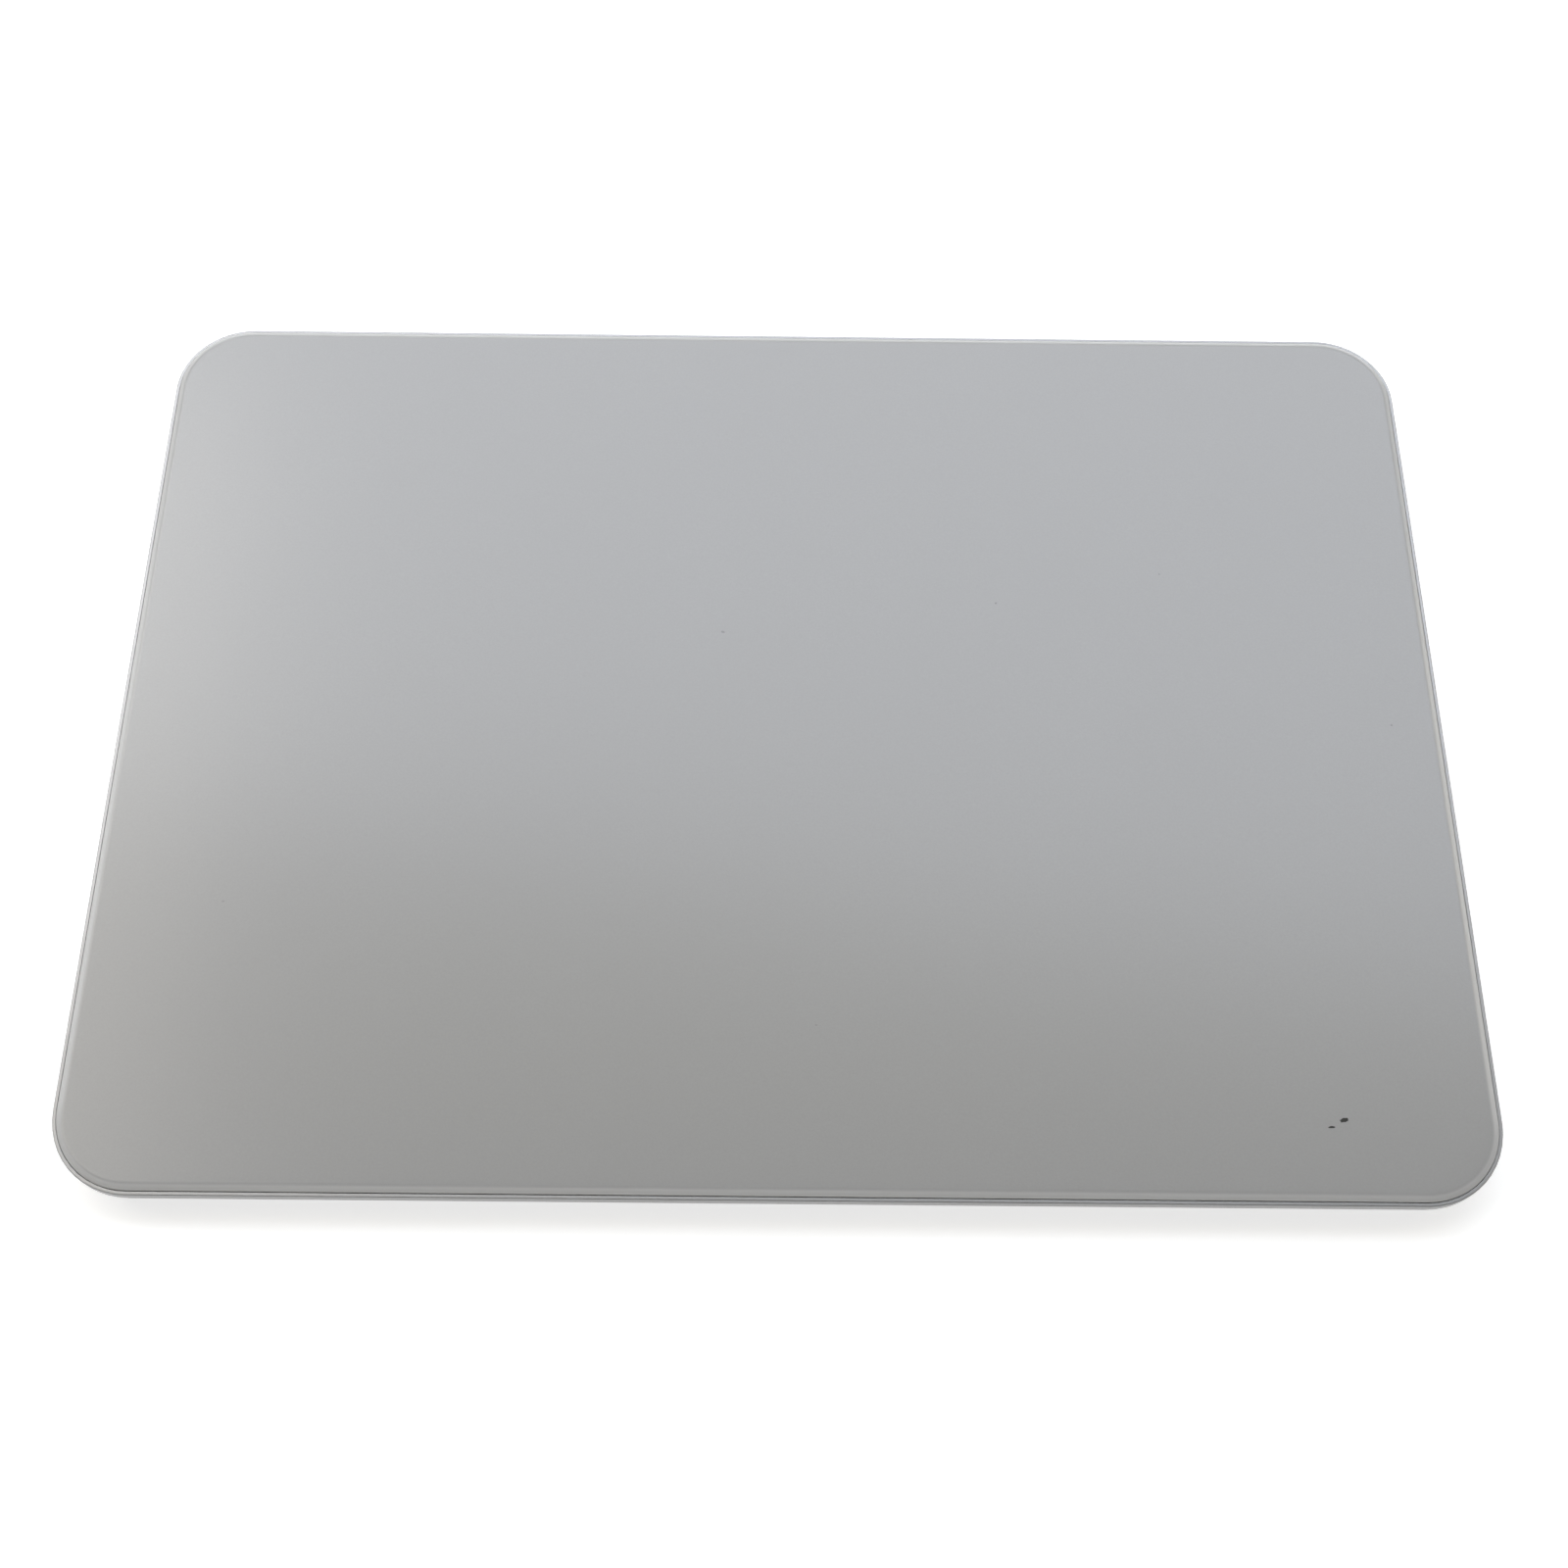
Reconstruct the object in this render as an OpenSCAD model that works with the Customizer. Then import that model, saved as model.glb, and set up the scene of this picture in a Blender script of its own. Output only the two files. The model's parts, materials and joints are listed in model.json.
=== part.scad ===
// Cordless desk trackpad: a bevelled glass touch plate, carried on four force-sensing flexures
// in a wedge-shaped metal enclosure, with a haptic actuator, a battery and a logic board under it.
// Millimetres. The desk is at Z = 0, +X is right, +Y is the rear and +Z is up.

/* [Outline] */
// Width of the enclosure
pad_w = 160; // [146:1:190]
// Depth of the enclosure, measured level
pad_d = 114.9; // [108:0.1:135]
// Height of the touch surface's plane above the desk at the front edge
front_h = 4.9; // [4.6:0.1:6.5]
// Height of the touch surface's plane above the desk at the rear edge
rear_h = 10.9; // [10.5:0.1:13]
// Radius of the outline's corners
corner_r = 9.4; // [7.5:0.1:16]
// Radius of the roll that tucks the lower edges under
under_roll = 3; // [1:0.1:3]
// How far the feet hold the enclosure off the desk
foot_stand = 0.6; // [0.4:0.1:0.8]

/* [Touch plate] */
// Thickness of the glass
glass_t = 0.8; // [0.7:0.05:1.1]
// Width of the bevel round the glass
glass_bevel_w = 0.7; // [0.3:0.05:1.5]
// Drop of the bevel round the glass
glass_bevel_drop = 0.35; // [0.15:0.05:0.5]
// How far the glass stands above the rim
glass_proud = 0.45; // [0.1:0.05:0.6]
// Thickness of the adhesive sheet under the glass
glass_bond_t = 0.1; // [0.05:0.05:0.2]
// Thickness of the touch sensor board
sensor_t = 0.6; // [0.4:0.1:0.8]
// Thickness of the stiffener under the sensor board
stiffener_t = 0.5; // [0.4:0.1:0.7]
// How far the sensor board's edge lies inside the outline
sensor_inset = 3.2; // [2.8:0.1:5]
// How far the stiffener's edge lies inside the sensor board's
stiffener_step = 0.4; // [0.2:0.1:2]
// Travel of the plate when it is pressed
press_travel = 0.25; // [0.1:0.05:0.35]
// Room left under the plate at the end of its travel
press_room = 0.15; // [0.1:0.05:0.3]
// Side travel of the plate, each way
haptic_travel = 0.06; // [0.02:0.01:0.1]
// Room left beside the glass at the end of its side travel
rim_room = 0.09; // [0.05:0.01:0.3]

/* [Enclosure] */
// Width of the rim round the glass
rim_w = 0.4; // [0.3:0.05:1]
// Thickness of the wall round the sensor board
pocket_wall = 2.4; // [1.8:0.1:2.6]
// Thickness of the web under the touch plate
web_t = 1; // [0.8:0.05:1.2]
// Thickness of the rear wall at the port and the switch
rear_wall = 1.6; // [1.2:0.1:2.4]
// Width of the metal border round the bottom cover
cover_border = 0.8; // [0.5:0.1:2]
// Width of the shelf that the bottom cover is bonded to
shelf_w = 1.8; // [1:0.1:3]
// Thickness of the bottom cover
cover_t = 0.8; // [0.6:0.05:0.9]
// Gap round the bottom cover
cover_fit = 0.1; // [0.05:0.05:0.2]
// Thickness of the adhesive on the shelf
cover_bond_t = 0.1; // [0.05:0.05:0.15]
// Diameter of a foot
foot_dia = 9; // [5:0.5:14]
// Depth of a foot's seat in the bottom cover
foot_seat = 0.2; // [0.1:0.05:0.4]
// Distance of a foot's centre from the outline
foot_in = 16; // [12:0.5:24]

/* [Force sensing] */
// Length of a flexure
flexure_l = 22; // [18:0.5:24]
// Width of a flexure
flexure_w = 9; // [7:0.5:11]
// Thickness of a flexure
flexure_t = 0.3; // [0.2:0.05:0.4]
// Length of the flexure's root that is screwed to the web
root_l = 7; // [5:0.5:8]
// Distance of a flexure's tip from the side of the outline
tip_in_x = 8.5; // [8.5:0.5:14]
// Distance of a flexure's middle line from the front or rear of the outline
tip_in_y = 14.5; // [13:0.5:18]
// Diameter of an isolation pad
iso_pad_dia = 5; // [3:0.5:6.5]
// Length of a strain gauge
gauge_l = 4; // [2:0.5:6]
// Width of a strain gauge
gauge_w = 5; // [3:0.5:6.5]
// Thickness of a strain gauge
gauge_t = 0.1; // [0.05:0.05:0.15]

/* [Haptic actuator] */
// Width of a core's leg, front to rear
leg_w = 14; // [10:0.5:16]
// Height of a core's leg
leg_h = 0.9; // [0.6:0.05:1]
// Length of a core's leg
leg_l = 12.5; // [9:0.5:15]
// Thickness of the winding round a leg
winding_t = 0.4; // [0.3:0.05:0.45]
// Width of a core's yoke
yoke_w = 2.5; // [1.5:0.5:4]
// Air gap between a core and the armature
air_gap = 0.4; // [0.3:0.05:0.8]
// Width of the armature, left to right
armature_w = 11.8; // [8:0.2:16]
// Height of the armature
armature_h = 1.6; // [1.2:0.05:1.8]
// Thickness of the bracket's sheet
bracket_t = 0.4; // [0.3:0.05:0.5]
// Depth of the bracket, front to rear
bracket_d = 19; // [17.5:0.5:22]
// Width of the bracket's screwed ears
ear_w = 5.5; // [4:0.5:8]

/* [Battery] */
// Width of the cell
cell_w = 112; // [80:1:124]
// Depth of the cell, front to rear
cell_d = 28; // [20:0.5:32]
// Thickness of the cell
cell_t = 3; // [2:0.1:3.1]
// Thickness of the tape that holds the cell to the web
tape_t = 0.15; // [0.15:0.05:0.25]
// Width of the protection board
guard_w = 36; // [24:1:40]
// Depth of the protection board
guard_d = 2.5; // [2:0.1:4]
// Thickness of the protection board with its parts
guard_t = 1; // [0.6:0.1:1.6]

/* [Logic board] */
// Width of the board
board_w = 96; // [92:1:98]
// Depth of the board
board_d = 17; // [16:0.5:18]
// Thickness of the board
board_t = 0.8; // [0.6:0.1:1]
// Height of the connectors on the board
connector_h = 1; // [0.7:0.1:1.2]
// Depth of the connectors on the board
connector_d = 2.6; // [2:0.1:3]
// Thickness of the flexible circuits
flex_t = 0.12; // [0.08:0.01:0.15]

/* [Charging port] */
// Height of the port's middle above the desk
port_z = 6; // [5.6:0.1:6.4]
// Width of the port's opening
port_w = 8.34; // [7:0.02:9]
// Height of the port's opening
port_h = 2.56; // [2.2:0.02:2.8]
// Wall of the port's shell
shell_t = 0.3; // [0.2:0.05:0.4]
// Length of the port's shell
shell_l = 7.3; // [6.5:0.1:8]

/* [Power switch] */
// Distance of the switch from the middle of the pad
switch_x = 33; // [30:0.5:36]
// Travel of the slider
switch_travel = 2; // [1:0.1:3]
// Width of the slider's knob
knob_w = 3.4; // [2.5:0.1:4]
// Height of the slider's knob
knob_h = 1.8; // [1.4:0.1:2]

/* [Screws] */
// Radius of a screw's shank
screw_r = 0.6; // [0.5:0.05:0.7]
// Radius of a screw's head
head_r = 1.2; // [1:0.05:1.4]
// Height of a screw's head
head_h = 0.25; // [0.2:0.05:0.3]

/* [Hidden] */
$fn = 96;

// A length beyond every part, for cutting planes
reach = 4 * pad_w;
// Overshoot of a cut beyond the face that it opens
over = 1;
// Clearance of a part in an opening
fit = 0.2;
// Clearance of a part in a close seat
close_fit = 0.05;

// Web left beside the board's window, at each end
window_in = 9;
// Room beside the board in its bay
bay_side = 1;
// Distance of a post from the board's edges
post_in = 2.6;
// Radius of a post
post_r = 1.6;
// Depth of the screw hole in a post
post_bore = 1.6;
// Gap between the protection board and the logic board
cell_gap = 1;
// Distance of the tape from the cell's edges and from the flexible circuits
tape_in = 3;

// Gap between the haptic bracket and the cell
actuator_gap = 3;
// Room beside the windings in the actuator's window
actuator_side = 1.5;
// Leg left bare at each end of a winding
coil_end = 1;
// Distance of the bracket's screws from its front and rear edges
bracket_screw_in = 3;
// Strip of flexure left beyond an isolation pad
pad_in = 1;

// Widths of the flexible circuits and of the battery lead
gauge_flex_w = 3;
haptic_flex_w = 4;
battery_lead_w = 6;
touch_flex_w = 12;
// Depth of the bar that joins the haptic circuit to the coils
flex_bar_d = 2;
// Depth of the stiffener's window for the touch circuit
flex_window_d = 8;
// Room round a part in a window of the stiffener
window_room = 1;
// Side and place of the chips under the sensor board
chip_w = 9;
chip_x = 30;
chip_y = 18;

// Distances of the parts on the logic board from its left end
battery_connector_in = 20;
shield_in = 19;
controller_in = 34;
// Distances of the parts on the logic board from its right end
touch_connector_in = 26;
antenna_in = 14;
// Places of the parts on the logic board from its middle, and their sizes
battery_connector_x = battery_connector_in - board_w / 2;
touch_connector_x = board_w / 2 - touch_connector_in;
controller_at = [controller_in - board_w / 2, -2];
controller_size = [7, 7, 0.9];
shield_at = [shield_in - board_w / 2, 2];
shield_size = [14, 11, 1.4];
shield_t = 0.2;
charger_at = [8, 4];
charger_size = [4, 4, 0.8];
antenna_at = [board_w / 2 - antenna_in, -2];
antenna_size = [6, 2, 1.1];
gauge_connector_w = 4;
// How much wider a connector is than its circuit
connector_side = 2;

// Share of the port's half height that its round ends take
port_roundness = 0.99;
// Tongue of the port, with its tip set back from the mouth
tongue_l = 5;
tongue_w = 6.69;
tongue_h = 0.7;
tongue_in = 1.1;
// Contacts on each face of the tongue
contact_count = 12;
contact_pitch = 0.5;
contact_size = [0.25, 3.5, 0.1];

// Housing of the switch, and the channel in it for the slider's stem
housing_side = 1.5;
housing_d = 3.2;
housing_h = 2.6;
channel_d = 1.6;
stem_h = 0.8;

// The plate's own frame lies in the slope of the glass, with its origin over the middle of the pad
tilt = atan((rear_h - front_h) / pad_d);
middle_h = (front_h + rear_h) / 2;
slope_d = pad_d / cos(tilt);

// Levels in the plate's frame, down from the top of the glass
rim_top = -glass_proud;
glass_under = -glass_t;
sensor_top = glass_under - glass_bond_t;
sensor_under = sensor_top - sensor_t;
plate_under = sensor_under - stiffener_t;
rebate_floor = glass_under - press_travel - press_room;
web_top = plate_under - press_travel - press_room;
web_under = web_top - web_t;
strip_top = web_top - head_h;
strip_under = strip_top - flexure_t;
coil_h = leg_h + 2 * close_fit + 2 * winding_t;
coil_top = web_top;
leg_mid = coil_top - coil_h / 2;
tray_floor = coil_top - coil_h - close_fit;
cell_top = web_under - tape_t;
guard_mid = cell_top - cell_t / 2;

// Levels above the desk
base_z = foot_stand;
cover_top = base_z + cover_t;
shelf_z = cover_top + cover_bond_t;
board_top = port_z - port_h / 2 - shell_t;
board_under = board_top - board_t;
connector_top = board_top + connector_h;
bay_floor = board_under - 2 * fit;
knob_z = board_top + housing_h / 2;

// Distances inside the outline
rim_gap = haptic_travel + rim_room;
glass_inset = rim_w + rim_gap;
cover_inset = under_roll + cover_border;
cavity_inset = cover_inset + shelf_w;

// The logic board lies against the rear wall, the cell in front of it and the actuator in front of the cell
wall_face = pad_d / 2 - rear_wall;
board_rear = wall_face - 2 * fit;
board_front = board_rear - board_d;
board_mid = (board_front + board_rear) / 2;
cell_rear = board_front - guard_d - cell_gap;
cell_front = cell_rear - cell_d;
actuator_y = cell_front - actuator_gap - bracket_d / 2;

// Openings of the web over the board and round the actuator
connector_row = board_front + connector_d;
window_front = connector_row + connector_d;
window_rear = slope_d / 2 - pocket_wall;
window_w = board_w - 2 * window_in;
core_x = armature_w / 2 + air_gap;
actuator_window_w = 2 * (core_x + leg_l + yoke_w + 2 * fit);
actuator_window_d = leg_w + 2 * (winding_t + close_fit + actuator_side);

// Posts that hang from the web and take the board's screws, all within reach through the cover's opening
post_x = board_w / 2 - post_in;
post_rows = [board_front + post_in, pad_d / 2 - cavity_inset - head_r - fit];

// Flexures and gauges, in the plate's frame
tip_x = pad_w / 2 - tip_in_x;
root_x = tip_x - flexure_l;
arm_x = root_x + root_l;
strip_y = slope_d / 2 - tip_in_y;
iso_pad_x = tip_x - pad_in - iso_pad_dia / 2;
gauge_x = arm_x + fit + max(gauge_l, gauge_flex_w) / 2;
flexure_screw_x = root_x + root_l / 2;
flexure_screw_y = flexure_w / 4;

// Haptic bracket
ear_x = actuator_window_w / 2 + fit;
bracket_screw_x = ear_x + (bracket_t + ear_w) / 2;
bracket_screw_y = bracket_d / 2 - bracket_screw_in;

// Port, from the mouth inwards
port_mouth = pad_d / 2 - fit;
port_back = port_mouth - shell_l;
port_block_l = shell_l - shell_t - tongue_l - tongue_in;
tongue_root = port_back + shell_t + port_block_l;

// Switch, with its slider at the off end
housing_w = knob_w + switch_travel + 2 * housing_side;
slot_w = knob_w + switch_travel + 2 * fit;
slider_x = switch_x - switch_travel / 2;

// Height of the glass plane above the desk
function glass_z(y) = middle_h + y * tan(tilt);
// Height of the web's underside above the desk
function web_under_z(y) = glass_z(y) + web_under / cos(tilt);
// A desk height as a level in the plate's frame
function plate_level(z, y) = (z - glass_z(y)) * cos(tilt);
// A place in the plate's frame as a level distance to the rear
function level_y(y, level) = y * cos(tilt) - level * sin(tilt);

module on_plate() {
    translate([0, 0, middle_h])
        rotate([tilt, 0, 0])
            children();
}

module four_corners(x, y) {
    for (sx = [-1, 1], sy = [-1, 1])
        translate([sx * x, sy * y, 0])
            children();
}

module rounded_rect(w, d, r) {
    square([w - 2 * r, d], center = true);
    square([w, d - 2 * r], center = true);
    four_corners(w / 2 - r, d / 2 - r)
        circle(r);
}

module slab(w, d, r, low, high) {
    translate([0, 0, low])
        linear_extrude(high - low)
            rounded_rect(w, d, r);
}

// A slab between two levels, whose edge lies a set distance inside the outline along the slope
module plate_slab(inset, low, high) {
    slab(pad_w - 2 * inset, slope_d - 2 * inset, corner_r - inset, low, high);
}

// The same inside the level outline
module level_slab(inset, low, high) {
    slab(pad_w - 2 * inset, pad_d - 2 * inset, corner_r - inset, low, high);
}

// A rounded rectangle that narrows upwards by a straight bevel
module bevelled(w, d, r, h, inset) {
    corners = [[-1, 0], [1, 0], [1, 1], [-1, 1]];
    rotate([90, 0, 0])
        linear_extrude(d - 2 * r, center = true)
            polygon([for (c = corners) [c.x * (w / 2 - inset * c.y), c.y * h]]);
    rotate([90, 0, 90])
        linear_extrude(w - 2 * r, center = true)
            polygon([for (c = corners) [c.x * (d / 2 - inset * c.y), c.y * h]]);
    four_corners(w / 2 - r, d / 2 - r)
        cylinder(h = h, r1 = r, r2 = r - inset);
}

// Half of a flat section whose lower corner is a quarter circle
module rolled_half(half_w, roll) {
    square([half_w - roll, roll]);
    intersection() {
        translate([half_w - roll, roll])
            circle(roll);
        translate([half_w - roll, 0])
            square(roll);
    }
}

// A rounded rectangle, one roll high, with its lower edge rolled under
module rolled(w, d, r, roll) {
    for (side = [0, 1]) {
        rotate([90, 0, 0])
            linear_extrude(d - 2 * r, center = true)
                mirror([side, 0])
                    rolled_half(w / 2, roll);
        rotate([90, 0, 90])
            linear_extrude(w - 2 * r, center = true)
                mirror([side, 0])
                    rolled_half(d / 2, roll);
    }
    four_corners(w / 2 - r, d / 2 - r)
        rotate_extrude()
            rolled_half(r, roll);
}

// A box between two levels, centred on a point in plan
module block(x, y, w, d, low, high) {
    translate([x - w / 2, y - d / 2, low])
        cube([w, d, high - low]);
}

module above(level) {
    block(0, 0, reach, reach, level, level + reach);
}

module below(level) {
    block(0, 0, reach, reach, level - reach, level);
}

// A screw that points down, with the underside of its head at the origin
module screw(shank_l) {
    difference() {
        union() {
            cylinder(h = head_h, r = head_r);
            translate([0, 0, -shank_l])
                cylinder(h = shank_l, r = screw_r);
        }
        translate([0, 0, head_h / 2])
            cylinder(h = head_h, r = screw_r, $fn = 6);
    }
}

module screw_hole(low, high) {
    translate([0, 0, low])
        cylinder(h = high - low, r = screw_r + close_fit);
}

// Enclosure

module outer_wedge() {
    difference() {
        union() {
            translate([0, 0, base_z])
                rolled(pad_w, pad_d, corner_r, under_roll);
            level_slab(0, base_z + under_roll, rear_h + over);
        }
        on_plate()
            above(rim_top);
    }
}

// The cavity under the web, and the bay that takes the board up to the rear wall
module lower_cavity() {
    intersection() {
        union() {
            level_slab(cavity_inset, base_z - over, rear_h);
            block(0, wall_face / 2, board_w + 2 * bay_side, wall_face, bay_floor, rear_h);
        }
        on_plate()
            below(web_under);
    }
}

module web_window(x, y, w, d) {
    block(x, y, w, d, web_under - over, web_top + over);
}

// The seat of a flexure's root, the window under its arm and its screw holes
module flexure_openings(sx, sy) {
    arm_l = tip_x - arm_x + fit;
    seat_w = flexure_w + 2 * fit;
    block(sx * (root_x + root_l / 2), sy * strip_y, root_l + 2 * fit, seat_w, strip_under, web_top + over);
    web_window(sx * (arm_x + arm_l / 2), sy * strip_y, arm_l, seat_w);
    for (side = [-1, 1])
        translate([sx * flexure_screw_x, sy * strip_y + side * flexure_screw_y, 0])
            screw_hole(web_under - over, web_top);
}

module web_openings() {
    web_window(0, (window_front + window_rear) / 2, window_w, window_rear - window_front);
    web_window(0, actuator_y, actuator_window_w, actuator_window_d);
    translate([0, actuator_y, 0])
        four_corners(bracket_screw_x, bracket_screw_y)
            screw_hole(web_under - over, web_top + over);
    for (sx = [-1, 1], sy = [-1, 1])
        flexure_openings(sx, sy);
}

module at_posts(level) {
    for (sx = [-1, 1], y = post_rows)
        translate([sx * post_x, y, level])
            children();
}

module board_posts() {
    for (sx = [-1, 1], y = post_rows)
        translate([sx * post_x, y, board_top])
            cylinder(h = web_under_z(y) + web_t / 2 - board_top, r = post_r);
}

// An opening through the rear wall
module wall_opening(x, z, w, h, r) {
    translate([x, wall_face - over, z])
        rotate([-90, 0, 0])
            slab(w, h, r, 0, rear_wall + 2 * over);
}

module enclosure() {
    shell_out = 2 * (shell_t + fit);
    color("silver")
        difference() {
            union() {
                difference() {
                    outer_wedge();
                    lower_cavity();
                    on_plate()
                        plate_slab(rim_w, rebate_floor, over);
                    on_plate()
                        plate_slab(pocket_wall, web_top, over);
                }
                board_posts();
            }
            level_slab(cover_inset, base_z - over, shelf_z);
            on_plate()
                web_openings();
            wall_opening(0, port_z, port_w + shell_out, port_h + shell_out, port_h / 2 + shell_t);
            wall_opening(switch_x, knob_z, slot_w, knob_h + 2 * fit, fit);
            at_posts(board_top)
                screw_hole(-over, post_bore);
        }
}

module bottom_cover() {
    color("whitesmoke")
        difference() {
            level_slab(cover_inset + cover_fit, base_z, cover_top);
            four_corners(pad_w / 2 - foot_in, pad_d / 2 - foot_in)
                translate([0, 0, base_z - over])
                    cylinder(h = foot_seat + over, d = foot_dia + 2 * cover_fit);
        }
}

module cover_adhesive() {
    color("dimgray")
        difference() {
            level_slab(cover_inset + fit, cover_top, shelf_z);
            level_slab(cavity_inset, cover_top - over, shelf_z + over);
        }
}

module foot(sx, sy) {
    color("gainsboro")
        translate([sx * (pad_w / 2 - foot_in), sy * (pad_d / 2 - foot_in), 0])
            cylinder(h = foot_stand + foot_seat, d = foot_dia);
}

// Battery

module battery_cell() {
    color("darkslategray")
        on_plate()
            block(0, cell_front + cell_d / 2, cell_w, cell_d, cell_top - cell_t, cell_top);
}

// The two strips of tape keep clear of the haptic circuit between them and of the gauges' circuits beside them
module battery_tape(sx) {
    inner_x = haptic_flex_w / 2 + tape_in;
    outer_x = min(cell_w / 2, gauge_x - gauge_flex_w / 2) - tape_in;
    color("black")
        on_plate()
            block(sx * (inner_x + outer_x) / 2, cell_front + cell_d / 2, outer_x - inner_x,
                cell_d - 2 * tape_in, cell_top, web_under);
}

module protection_board() {
    color("seagreen")
        on_plate()
            block(battery_connector_x, cell_rear + guard_d / 2, guard_w, guard_d,
                guard_mid - guard_t / 2, guard_mid + guard_t / 2);
}

// A flap on the protection board's rear face, and a strip from it over the connector
module battery_lead() {
    flap_y = cell_rear + guard_d + flex_t / 2;
    strip_y0 = level_y(flap_y, guard_mid);
    strip_y1 = connector_row + connector_d / 2;
    flap_low = min(guard_mid - guard_t / 2, plate_level(connector_top, strip_y0));
    flap_high = max(guard_mid + guard_t / 2, plate_level(connector_top + flex_t, strip_y0));
    color("goldenrod") {
        on_plate()
            block(battery_connector_x, flap_y, battery_lead_w, flex_t, flap_low, flap_high);
        block(battery_connector_x, (strip_y0 + strip_y1) / 2, battery_lead_w, strip_y1 - strip_y0,
            connector_top, connector_top + flex_t);
    }
}

// Logic board and what it carries

module logic_board() {
    color("darkgreen")
        difference() {
            block(0, board_mid, board_w, board_d, board_under, board_top);
            at_posts(board_under)
                screw_hole(-over, board_t + over);
        }
}

module board_screws() {
    color("lightsteelblue")
        at_posts(board_under)
            mirror([0, 0, 1])
                screw(board_t + post_bore - fit);
}

// A part soldered on the board, placed from the board's middle
module on_board(place, size) {
    block(place.x, board_mid + place.y, size.x, size.y, board_top, board_top + size.z);
}

module main_controller() {
    color("dimgray")
        on_board(controller_at, controller_size);
}

module radio_shield() {
    color("lightgray")
        difference() {
            on_board(shield_at, shield_size);
            on_board(shield_at, shield_size - [2, 2, 1] * shield_t);
        }
}

module charge_controller() {
    color("dimgray")
        on_board(charger_at, charger_size);
}

module chip_antenna() {
    color("ivory")
        on_board(antenna_at, antenna_size);
}

module connector(x, y, w) {
    color("beige")
        block(x, y, w, connector_d, board_top, connector_top);
}

module battery_connector() {
    connector(battery_connector_x, connector_row, battery_lead_w + connector_side);
}

module touch_connector() {
    connector(touch_connector_x, board_mid, touch_flex_w + connector_side);
}

module haptic_connector() {
    connector(0, connector_row, haptic_flex_w + connector_side);
}

module gauge_connector(sx) {
    connector(sx * post_x, board_mid, gauge_connector_w);
}

// A drop of flexible circuit from a strip under the web to the top of a connector
module flex_drop(x, y, w, d) {
    block(x, y, w, d, connector_top, web_under_z(y - d / 2) - flex_t / 2);
}

// Charging port

module along_port(y, length) {
    translate([0, y, port_z])
        rotate([-90, 0, 0])
            linear_extrude(length)
                children();
}

// The opening's round-ended outline, grown or shrunk
module port_profile(grow) {
    rounded_rect(port_w + 2 * grow, port_h + 2 * grow, (port_h / 2 + grow) * port_roundness);
}

module port_shell() {
    color("gainsboro")
        difference() {
            along_port(port_back, shell_l)
                port_profile(shell_t);
            along_port(port_back + shell_t, shell_l)
                port_profile(0);
        }
}

module port_tongue() {
    color("black") {
        along_port(port_back + shell_t, port_block_l)
            port_profile(-close_fit);
        along_port(tongue_root - close_fit, tongue_l + close_fit)
            square([tongue_w, tongue_h], center = true);
    }
}

module port_contacts() {
    color("gold")
        for (side = [-1, 1], i = [0 : contact_count - 1])
            translate([
                (i - (contact_count - 1) / 2) * contact_pitch,
                tongue_root + tongue_l / 2,
                port_z + side * (tongue_h + contact_size.z) / 2
            ])
                cube(contact_size, center = true);
}

// Power switch

module switch_housing() {
    channel_h = stem_h + 2 * fit;
    color("dimgray")
        difference() {
            block(switch_x, board_rear - housing_d / 2, housing_w, housing_d,
                board_top, board_top + housing_h);
            block(switch_x, board_rear, slot_w, 2 * channel_d,
                knob_z - channel_h / 2, knob_z + channel_h / 2);
        }
}

module switch_slider() {
    stem_end = board_rear - channel_d + fit;
    knob_end = board_rear + fit;
    knob_face = pad_d / 2 - fit;
    color("white") {
        block(slider_x, (stem_end + knob_face) / 2, knob_w, knob_face - stem_end,
            knob_z - stem_h / 2, knob_z + stem_h / 2);
        block(slider_x, (knob_end + knob_face) / 2, knob_w, knob_face - knob_end,
            knob_z - knob_h / 2, knob_z + knob_h / 2);
    }
}

// Haptic actuator

module haptic_core(sx) {
    color("slategray")
        on_plate() {
            block(sx * (core_x + leg_l / 2), actuator_y, leg_l, leg_w,
                leg_mid - leg_h / 2, leg_mid + leg_h / 2);
            block(sx * (core_x + leg_l + yoke_w / 2), actuator_y, yoke_w, leg_w,
                tray_floor, coil_top - fit);
        }
}

module haptic_coil(sx) {
    bore_w = leg_w + 2 * close_fit;
    bore_h = leg_h + 2 * close_fit;
    color("chocolate")
        on_plate()
            translate([sx * (core_x + leg_l / 2), actuator_y, leg_mid])
                rotate([90, 0, 90])
                    linear_extrude(leg_l - 2 * coil_end, center = true)
                        difference() {
                            rounded_rect(bore_w + 2 * winding_t, bore_h + 2 * winding_t, winding_t);
                            square([bore_w, bore_h], center = true);
                        }
}

// A sheet tray, hung from the web by two ears
module haptic_bracket() {
    floor_under = tray_floor - bracket_t;
    color("lightgray")
        on_plate()
            difference() {
                union() {
                    block(0, actuator_y, 2 * (ear_x + bracket_t), bracket_d, floor_under, tray_floor);
                    for (sx = [-1, 1]) {
                        block(sx * (ear_x + bracket_t / 2), actuator_y, bracket_t, bracket_d,
                            floor_under, web_under);
                        block(sx * (ear_x + ear_w / 2), actuator_y, ear_w, bracket_d,
                            web_under - bracket_t, web_under);
                    }
                }
                translate([0, actuator_y, web_under])
                    four_corners(bracket_screw_x, bracket_screw_y)
                        screw_hole(-bracket_t - over, over);
            }
}

module haptic_screws() {
    color("lightsteelblue")
        on_plate()
            translate([0, actuator_y, web_under - bracket_t])
                four_corners(bracket_screw_x, bracket_screw_y)
                    mirror([0, 0, 1])
                        screw(bracket_t + web_t - fit);
}

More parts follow.
